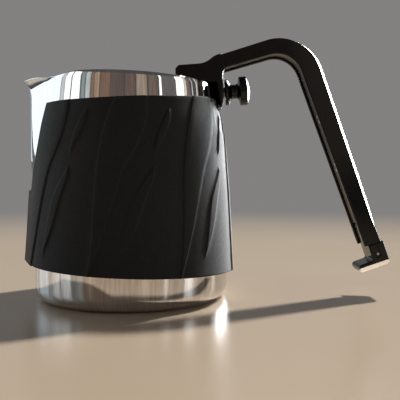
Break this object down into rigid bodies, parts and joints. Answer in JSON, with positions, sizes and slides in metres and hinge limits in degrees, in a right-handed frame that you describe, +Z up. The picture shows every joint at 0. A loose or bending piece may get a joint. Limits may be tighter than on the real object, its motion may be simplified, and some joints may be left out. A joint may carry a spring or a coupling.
{
  "type": "milk frothing pitcher",
  "caption": "Steel milk jug with a sharp pouring spout, a silicone grip sleeve and a clamp-on bent handle with a thumbscrew.",
  "frame": {"origin": "centre of the jug's flat base, on the surface it stands on", "axes": "+Z up, +X from the jug towards the handle with the spout at -X, +Y completes the right-handed frame"},
  "size_m": [0.1701, 0.0954, 0.1202],
  "materials": {
    "polished_steel": "mirror polished stainless with fine vertical draw lines",
    "sleeve_silicone": "matte black silicone with shallow moulded relief",
    "black_cast": "gloss black coated casting",
    "gloss_black": "gloss black moulding",
    "core_steel": "blackened steel bar",
    "fastener_steel": "turned stainless",
    "bush_brass": "turned brass",
    "pad_rubber": "matte black rubber"
  },
  "bodies": {
    "pitcher": {"vessel": "polished_steel", "grip_sleeve": "sleeve_silicone"},
    "handle": {"clamp_body": "black_cast", "inner_jaw": "fastener_steel", "jaw_screw_1": "fastener_steel", "jaw_screw_2": "fastener_steel", "jaw_pad": "pad_rubber", "rim_seat": "pad_rubber", "threaded_bush": "bush_brass", "arm_core": "core_steel", "core_screw_1": "fastener_steel", "core_screw_2": "fastener_steel", "grip_shell": "gloss_black", "shell_screw_1": "fastener_steel", "shell_screw_2": "fastener_steel", "shell_screw_3": "fastener_steel", "finger_rest": "gloss_black", "rest_pin": "fastener_steel"},
    "pad": {"pad_face": "pad_rubber", "pressure_pad": "fastener_steel"},
    "thumbscrew": {"screw_stud": "fastener_steel", "thumb_knob": "black_cast", "knob_cap": "black_cast"}
  },
  "joints": [
    {"name": "handle_lift", "type": "slide", "parent": "pitcher", "child": "handle", "axis": [-0.1132, 0, 0.9936], "range_m": [0, 0.03]},
    {"name": "pad_feed", "type": "slide", "parent": "handle", "child": "pad", "axis": [0.9962, 0, 0.0872], "range_m": [0, 0.00081]},
    {"name": "thumbscrew_turn", "type": "hinge", "parent": "pad", "child": "thumbscrew", "pos_m": [0.0385, 0, 0.095], "axis": [0.9962, 0, 0.0872], "range_deg": [0, 360]}
  ],
  "couplings": [
    {"joint": "pad_feed", "follows": "thumbscrew_turn", "m_per_rad": 0.00012732}
  ]
}
